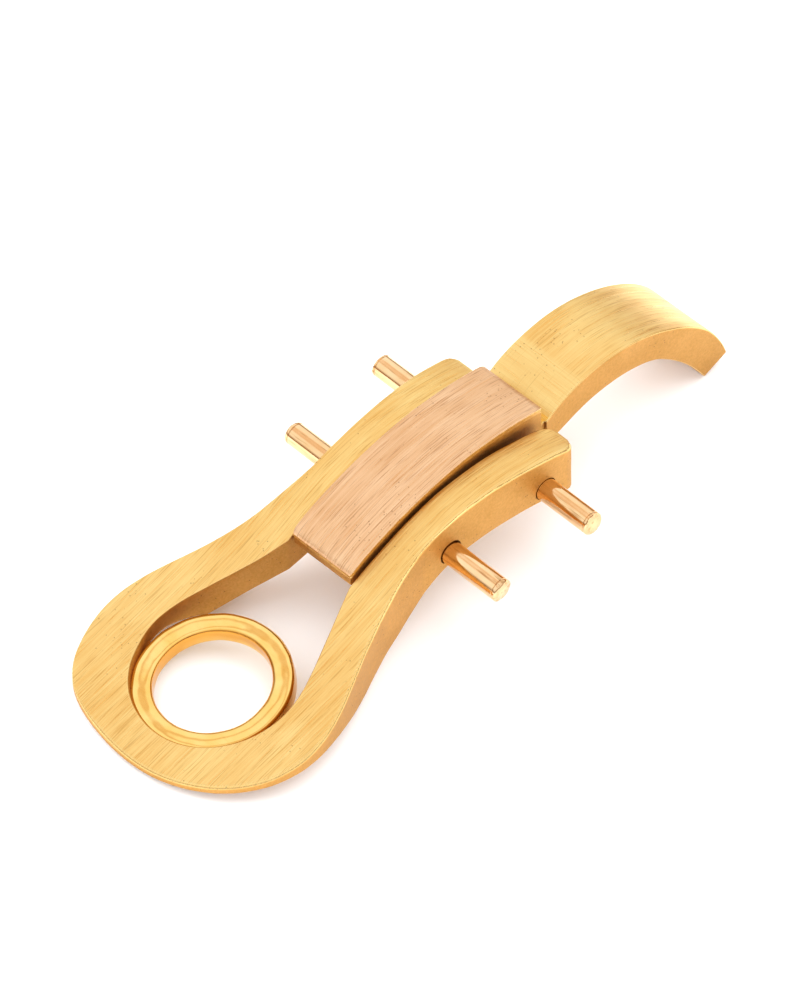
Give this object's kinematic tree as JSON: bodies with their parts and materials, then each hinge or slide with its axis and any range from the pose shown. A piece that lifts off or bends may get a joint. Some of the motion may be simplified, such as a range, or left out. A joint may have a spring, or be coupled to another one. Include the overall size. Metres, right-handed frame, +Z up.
{
  "type": "saxophone ligature",
  "caption": "Saxophone ligature part: horseshoe frame with a polished ring, and a hooked lever with cross pins that rocks between its legs.",
  "frame": {"origin": "on the table plane that the ring and the hook's tip rest on, under the middle of the part's whole box", "axes": "+X from the loop towards the hook, +Y along the cross pins to the left seen from the loop, +Z up from the table"},
  "size_m": [0.0652, 0.0246, 0.0118],
  "materials": {
    "brushed_yellow_gold": "brushed",
    "polished_yellow_gold": "polished",
    "brushed_rose_gold": "brushed",
    "polished_rose_gold": "polished"
  },
  "bodies": {
    "frame": {"horseshoe_frame": "brushed_yellow_gold", "polished_ring": "polished_yellow_gold"},
    "lever": {"hook_lever": "brushed_yellow_gold", "cover_plate": "brushed_rose_gold", "front_pin": "polished_rose_gold", "rear_pin": "polished_rose_gold"}
  },
  "joints": [
    {"name": "lever_rock", "type": "hinge", "parent": "frame", "child": "lever", "pos_m": [0.00777, 0, 0.0067], "axis": [0, 1, 0], "range_deg": [0, 0.8]}
  ]
}
